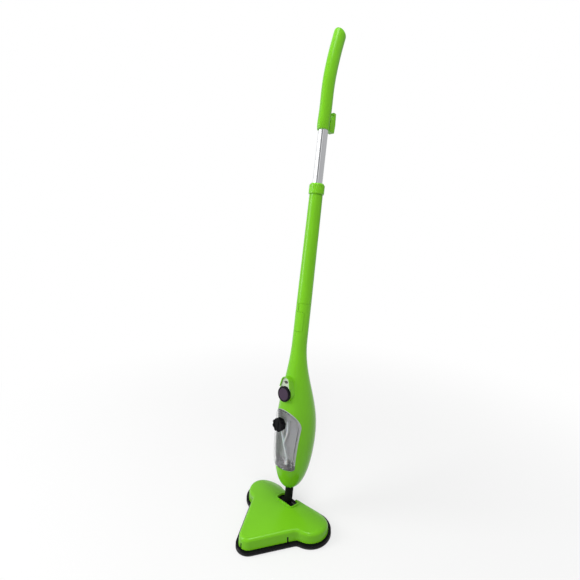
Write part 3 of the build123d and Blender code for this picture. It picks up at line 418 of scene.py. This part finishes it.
class MOP_OT_tank(bpy.types.Operator):
    """Clear tank with the hose inside it"""

    bl_idname = "mop.tank"
    bl_label = "Water tank"

    def execute(self, context):
        colours = context.scene.mop_colours
        clear = Paint("clear_tank")
        smear = clear.cloud(0.014, 3)
        flow = clear.cloud(0.03, 2, clear.along_pole(), (1.0, 1.0, 0.3))
        clear.set(
            base_color=clear.blend(smear.step(0.3, 0.7), colours.clear, shade(colours.clear, 0.98)),
            roughness=0.05 + smear.step(0.45, 0.75) * 0.08, transmission_weight=1.0, ior=1.46
        )
        clear.relief(flow, 0.0004)
        dress(clear, "water_tank")
        milky = Paint("clear_hose")
        haze = milky.cloud(0.006, 2)
        milky.set(
            base_color=milky.blend(haze, colours.hose, shade(colours.hose, 0.86)),
            roughness=0.28 + haze * 0.15, subsurface_weight=0.3
        )
        milky.relief(haze, 0.0001)
        dress(milky, "pickup_hose", "pickup_filter")
        return {"FINISHED"}


class MOP_OT_dial(bpy.types.Operator):
    """Turned purple insert of the steam dial and the lens above it"""

    bl_idname = "mop.dial"
    bl_label = "Dial face and lamp"

    def execute(self, context):
        colours = context.scene.mop_colours
        sizes = context.scene.mop_sizes
        face = Paint("dial_face")
        across, _, rise = face.split(face.along_pole())
        radius = (across ** 2 + (rise - DIAL_HEIGHT) ** 2) ** 0.5
        turned = radius.waves(sizes.groove)
        dust = face.cloud(0.002, 2)
        face.set(
            base_color=face.blend(turned * 0.35 + dust * 0.3, colours.dial, shade(colours.dial, 1.35)),
            roughness=0.34 + dust * 0.12, specular_ior_level=0.2
        )
        face.relief(turned + dust * 0.2, 0.00003, 0.0004)
        dress(face, "dial_face")
        lens = Paint("lamp_lens")
        rib = lens.split(lens.along_pole())[0].waves(sizes.rib)
        lens.set(
            base_color=lens.blend(rib * 0.6, colours.lamp, shade(colours.lamp, 2.4)),
            roughness=0.10 + rib * 0.08, coat_weight=0.5, coat_roughness=0.03
        )
        lens.relief(rib, 0.00005)
        dress(lens, "indicator_lamp")
        return {"FINISHED"}


class MOP_OT_metals(bpy.types.Operator):
    """Chrome tube, screws and the metal works inside"""

    bl_idname = "mop.metals"
    bl_label = "Metals"

    def execute(self, context):
        colours = context.scene.mop_colours
        plated = metal("chrome_tube", colours.chrome, 0.05, 0.0030, (1, 1, 0.02), 0.0000002, 0.012)
        dress(plated, "inner_tube")
        zinc = metal("zinc_plate", colours.steel, 0.28, 0.0008)
        dress(zinc, "cover_screws", "unit_screws", "grip_screws", "hook_screw")
        pressed = metal("bare_steel", colours.steel, 0.30, 0.0012, (1, 0.06, 1))
        dress(pressed, "dial_shaft", "steam_diffuser", "thermostat")
        dress(metal("cast_alloy", colours.alloy, 0.45, 0.0015, depth=0.00015), "boiler")
        dress(metal("brass_pipe", colours.brass, 0.22, 0.0010, (1, 1, 0.04)), "steam_pipe")
        return {"FINISHED"}


class MOP_OT_rubber(bpy.types.Operator):
    """Moulded rubber seal and cord bush"""

    bl_idname = "mop.rubber"
    bl_label = "Rubber"

    def execute(self, context):
        scene = context.scene
        paint = satin_plastic("black_rubber", scene.mop_colours.rubber, scene.mop_sizes, 0.62, 0.00012)
        dress(paint, "cap_gasket", "cord_gland")
        return {"FINISHED"}


def pad_outline(spacing):
    """Even points round the pad's edge, from its solid, and their outward directions"""
    middle = (PAD_LOW.z + PAD_HIGH.z) / 2
    points = np.array([vertex.co for vertex in nodes["mop_pad"].data.vertices])
    band = points[np.abs(points[:, 2] - middle) < (PAD_HIGH.z - PAD_LOW.z) / 4][:, :2]
    band = band[np.argsort(np.arctan2(band[:, 1], band[:, 0]))]
    keep = [band[0]]
    for point in band[1:]:
        if np.hypot(*(point - keep[-1])) > spacing / 10:
            keep.append(point)
    loop = np.array(keep + [keep[0]])
    run = np.concatenate([[0], np.cumsum(np.hypot(*np.diff(loop, axis=0).T))])
    count = int(run[-1] / spacing)
    at = np.linspace(0, run[-1], count, endpoint=False)
    ring = np.stack([np.interp(at, run, loop[:, axis]) for axis in (0, 1)], axis=1)
    for _ in range(2):
        ring = (np.roll(ring, 1, 0) + 2 * ring + np.roll(ring, -1, 0)) / 4
    tangent = np.roll(ring, -1, 0) - np.roll(ring, 1, 0)
    outward = np.stack([tangent[:, 1], -tangent[:, 0]], axis=1)
    return ring, outward / np.hypot(*outward.T)[:, None]


def lofted(name, rings, closed_ends):
    """Mesh object through closed rings of points, whose ends are filled or else joined to each other"""
    mesh = bmesh.new()
    rows = [[mesh.verts.new(point) for point in ring] for ring in rings]
    pairs = list(zip(rows, rows[1:]))
    if not closed_ends:
        pairs.append((rows[-1], rows[0]))
    for low, high in pairs:
        for here in range(len(low)):
            after = (here + 1) % len(low)
            mesh.faces.new((low[here], low[after], high[after], high[here]))
    if closed_ends:
        for row in (rows[0], rows[-1]):
            hub = mesh.verts.new(sum((vertex.co for vertex in row), Vector()) / len(row))
            for here in range(len(row)):
                mesh.faces.new((row[here], row[(here + 1) % len(row)], hub))
    bmesh.ops.recalc_face_normals(mesh, faces=mesh.faces)
    data = bpy.data.meshes.new(name)
    mesh.to_mesh(data)
    mesh.free()
    for face in data.polygons:
        face.use_smooth = True
    made = bpy.data.objects.new(name, data)
    bpy.context.scene.collection.objects.link(made)
    return made


def fabric(name, colour, yarn, depth, fuzz):
    """Knitted or woven black cloth with fuzz that catches the light"""
    paint = Paint(name)
    loops = paint.cells(yarn)
    nap = paint.cloud(yarn * 6, 3)
    # Painted shade: the cloth darkens in the gaps between the loops, where the bump sinks, and lightens on
    # their tops, with random nap over it.
    between = loops.step(0.1, 0.7) * 0.6 + nap * 0.3
    paint.set(
        base_color=paint.blend(between, shade(colour, 1.5), shade(colour, 0.7)),
        roughness=0.78 + nap * 0.15, sheen_weight=fuzz, sheen_roughness=0.45
    )
    paint.relief(1 - loops + nap * 0.4, depth)
    return paint


class MOP_OT_mop_pad(bpy.types.Operator):
    """Microfibre pad with a sewn seam, a bound edge and loops underneath"""

    bl_idname = "mop.mop_pad"
    bl_label = "Mop pad"

    def execute(self, context):
        sizes = context.scene.mop_sizes
        colours = context.scene.mop_colours
        ring, outward = pad_outline(sizes.spacing)
        thick = PAD_HIGH.z - PAD_LOW.z
        seam = sizes.channel
        pucker = sizes.pucker
        count = len(ring)
        centre = ring.mean(axis=0)
        steps = np.arange(count) * sizes.spacing

        def level(inset, share, shrink=1.0, ripple=0.0, pile=0.0):
            """Ring of points that far inside the edge, at a share of the pad's thickness"""
            flat = (ring - outward * inset - centre) * shrink + centre
            points = []
            for here in range(count):
                wave = ripple * math.sin(2 * math.pi * steps[here] / (3 * sizes.stitch))
                lump = pile * noise.noise((*flat[here] / sizes.lumps, share))
                height = PAD_LOW.z + thick * share + wave + lump
                points.append((*flat[here], min(max(height, PAD_LOW.z), PAD_HIGH.z)))
            return points

        inner = (0.12, 0.3, 0.45, 0.6, 0.72, 0.84, 0.93)
        edge = sizes.binding
        profile = [level(2 * seam, 0.10, shrink, 0, sizes.pile) for shrink in inner]
        profile += [
            level(2 * seam, 0.09, 1, 0, sizes.pile), level(1.4 * seam, 0.07, 1, 0, sizes.pile / 2),
            level(seam, 0.20, 1, pucker), level(0.6 * seam, 0.07, 1, 0.4 * pucker),
            level(edge + 0.0018, 0.06), level(edge + 0.0005, 0.22), level(edge, 0.45),
            level(edge + 0.0002, 0.68), level(edge + 0.0014, 0.90),
            level(0.6 * seam, 0.94, 1, 0.4 * pucker), level(seam, 0.82, 1, pucker),
            level(1.4 * seam, 0.94), level(2 * seam, 0.96),
        ]
        profile += [level(2 * seam, 0.97, shrink) for shrink in reversed(inner)]
        pad = lofted("pad_body", profile, True)
        pad.modifiers.new("soften", "SUBSURF").render_levels = 1
        pad.data.materials.append(fabric("microfibre", colours.pad, 0.0011, 0.0004, 0.35).material)
        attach(pad, "head")
        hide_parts("mop_pad")

        outside = [
            level(0.8 * seam, 0.05), level(0.0018, 0.01), level(0.0003, 0.20), level(0, 0.45),
            level(0.0002, 0.70), level(0.0014, 0.95), level(0.8 * seam, 0.97),
        ]
        inside = [
            level(0.8 * seam, 0.93), level(edge + 0.0012, 0.90), level(edge, 0.68), level(edge, 0.45),
            level(edge, 0.24), level(edge + 0.0012, 0.07), level(0.8 * seam, 0.09),
        ]
        binding = lofted("pad_binding", outside + inside, False)
        binding.modifiers.new("soften", "SUBSURF").render_levels = 1
        binding.data.materials.append(fabric("binding_tape", colours.tape, 0.0008, 0.0002, 0.15).material)
        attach(binding, "head")
        return {"FINISHED"}


class MOP_OT_hook_tape(bpy.types.Operator):
    """Hook tape patches under the base"""

    bl_idname = "mop.hook_tape"
    bl_label = "Hook tape"

    def execute(self, context):
        dress(fabric("hook_tape", context.scene.mop_colours.tape, 0.0014, 0.0006, 0.1), "hook_strips")
        return {"FINISHED"}


def softbox(name, place, aim, size, watts, mirrored=True):
    """Soft rectangular lamp, which shiny parts mirror or not"""
    data = bpy.data.lights.new(name, "AREA")
    data.shape = "RECTANGLE"
    data.size, data.size_y = size
    data.energy = watts
    lamp = bpy.data.objects.new(name, data)
    lamp.location = place
    lamp.visible_glossy = mirrored
    lamp.rotation_euler = (Vector(aim) - Vector(place)).to_track_quat("-Z", "Y").to_euler()
    bpy.context.scene.collection.objects.link(lamp)


def light_room(scene):
    """Soft room, white where it is seen, with the darker gap and paler stripe that shiny parts mirror"""
    stage = scene.mop_stage
    world = bpy.data.worlds.new("studio")
    scene.world = world
    world.use_nodes = True
    room = Paint("studio", world.node_tree)
    camera_ray = room.node("ShaderNodeLightPath", out="Is Camera Ray")
    seen = camera_ray + camera_ray.output("Is Transmission Ray")
    gloss = camera_ray.output("Is Glossy Ray")
    x, y, _ = room.split(room.node("ShaderNodeTexCoord", out="Generated"))
    across = x * math.cos(stage.turn) + y * math.sin(stage.turn)
    front = x * math.sin(stage.turn) - y * math.cos(stage.turn)
    gap = across.step(-0.50, -0.42) * (1 - across.step(-0.18, -0.12)) * front.step(0.2, 0.5)
    stripe = across.step(-0.10, -0.04) * (1 - across.step(0.04, 0.10)) * front.step(0.6, 0.8)
    mirrored = (0.95 - across.step(-0.4, 0.2) * 0.45) * (1 - gap * 0.85) + stripe * 0.3
    glow = world.node_tree.nodes["Background"].inputs
    room.put(glow["Color"], (1, 1, 1))
    room.put(glow["Strength"], seen + (1 - seen) * (gloss * mirrored + (1 - gloss) * stage.room))


def lay_floor(scene):
    """Pale floor that keeps the mop's shadow and turns white further out"""
    colours = scene.mop_colours
    half = scene.mop_stage.floor
    corners = [(-half, -half, 0), (half, -half, 0), (half, half, 0), (-half, half, 0)]
    mesh = bpy.data.meshes.new("studio_floor")
    mesh.from_pydata(corners, [], [(0, 1, 2, 3)])
    floor = bpy.data.objects.new("studio_floor", mesh)
    scene.collection.objects.link(floor)
    sweep = Paint("studio_floor")
    x, y, _ = sweep.split(sweep.place())
    reach = (x ** 2 + y ** 2) ** 0.5
    far = reach.step(0.35, 1.6)
    camera_ray = sweep.node("ShaderNodeLightPath", out="Is Camera Ray")
    seen = camera_ray + camera_ray.output("Is Glossy Ray")
    mist = sweep.cloud(0.3, 2) * 0.05 + 0.95
    # Painted shade: light bounced off the floor is near black under the head and paler further out; only
    # camera and glossy rays see the pale floor.
    bounce = sweep.blend(reach.step(0.15, 0.6), colours.floor_near, colours.floor_wide)
    sweep.set(base_color=sweep.blend(mist * seen, bounce, colours.floor), roughness=0.9)
    white = sweep.node("ShaderNodeEmission", None, {"Color": (1, 1, 1), "Strength": 1.0})
    mixed = sweep.node(
        "ShaderNodeMixShader", None,
        {0: (0.6 + far * 0.4) * seen, 1: Wire(sweep, sweep.shader.outputs[0]), 2: white}
    )
    sweep.put(sweep.tree.nodes["Material Output"].inputs["Surface"], mixed)
    mesh.materials.append(sweep.material)


def aim_camera(scene):
    """Camera at the photograph's viewing angle"""
    stage = scene.mop_stage
    lens = bpy.data.cameras.new("camera")
    lens.lens = stage.lens
    lens.sensor_width = 36
    eye = bpy.data.objects.new("camera", lens)
    scene.collection.objects.link(eye)
    level = math.cos(stage.dip)
    back = Vector((math.sin(stage.turn) * level, -math.cos(stage.turn) * level, math.sin(stage.dip)))
    eye.location = stage.eye
    eye.rotation_euler = (-back).to_track_quat("-Z", "Y").to_euler()
    scene.camera = eye


class MOP_OT_stage(bpy.types.Operator):
    """Pale floor, soft room, three softboxes and the camera"""

    bl_idname = "mop.stage"
    bl_label = "Stage"

    def execute(self, context):
        scene = context.scene
        stage = scene.mop_stage
        scene.view_settings.view_transform = "Standard"
        light_room(scene)
        lay_floor(scene)
        softbox("key_softbox", (-1.6, -1.9, 1.5), (0, 0.05, 0.55), (1.2, 1.7), stage.key)
        softbox("fill_strip", (1.3, -1.75, 1.25), (0, 0.05, 0.6), (0.35, 1.5), stage.fill, False)
        softbox("top_softbox", (0.45, -0.1, 2.6), (0, 0, 0), (0.8, 0.8), stage.top)
        aim_camera(scene)
        return {"FINISHED"}


STEPS = (
    MOP_OT_green_mouldings, MOP_OT_grip, MOP_OT_black_mouldings, MOP_OT_pale_mouldings, MOP_OT_swivel,
    MOP_OT_tank, MOP_OT_dial, MOP_OT_metals, MOP_OT_rubber, MOP_OT_mop_pad, MOP_OT_hook_tape, MOP_OT_stage,
)


class MOP_PT_steam_mop(bpy.types.Panel):
    """Lists the steps that dress the mop and the values they use"""

    bl_idname = "MOP_PT_steam_mop"
    bl_label = "Steam Mop"
    bl_space_type = "VIEW_3D"
    bl_region_type = "UI"
    bl_category = "Steam Mop"

    def draw(self, context):
        for step in STEPS:
            self.layout.operator(step.bl_idname)
        for group in (context.scene.mop_colours, context.scene.mop_sizes, context.scene.mop_stage):
            box = self.layout.box()
            for key in group.bl_rna.properties.keys():
                if key not in ("rna_type", "name"):
                    box.prop(group, key)


CLASSES = (MopColours, MopSizes, MopStage, *STEPS, MOP_PT_steam_mop)


def register():
    for made in CLASSES:
        bpy.utils.register_class(made)
    bpy.types.Scene.mop_colours = bpy.props.PointerProperty(type=MopColours)
    bpy.types.Scene.mop_sizes = bpy.props.PointerProperty(type=MopSizes)
    bpy.types.Scene.mop_stage = bpy.props.PointerProperty(type=MopStage)


def unregister():
    del bpy.types.Scene.mop_colours, bpy.types.Scene.mop_sizes, bpy.types.Scene.mop_stage
    for made in reversed(CLASSES):
        bpy.utils.unregister_class(made)


def main():
    register()
    for step in STEPS:
        group, name = step.bl_idname.split(".")
        getattr(getattr(bpy.ops, group), name)()
    bpy.context.view_layer.update()


if __name__ == "__main__":
    main()
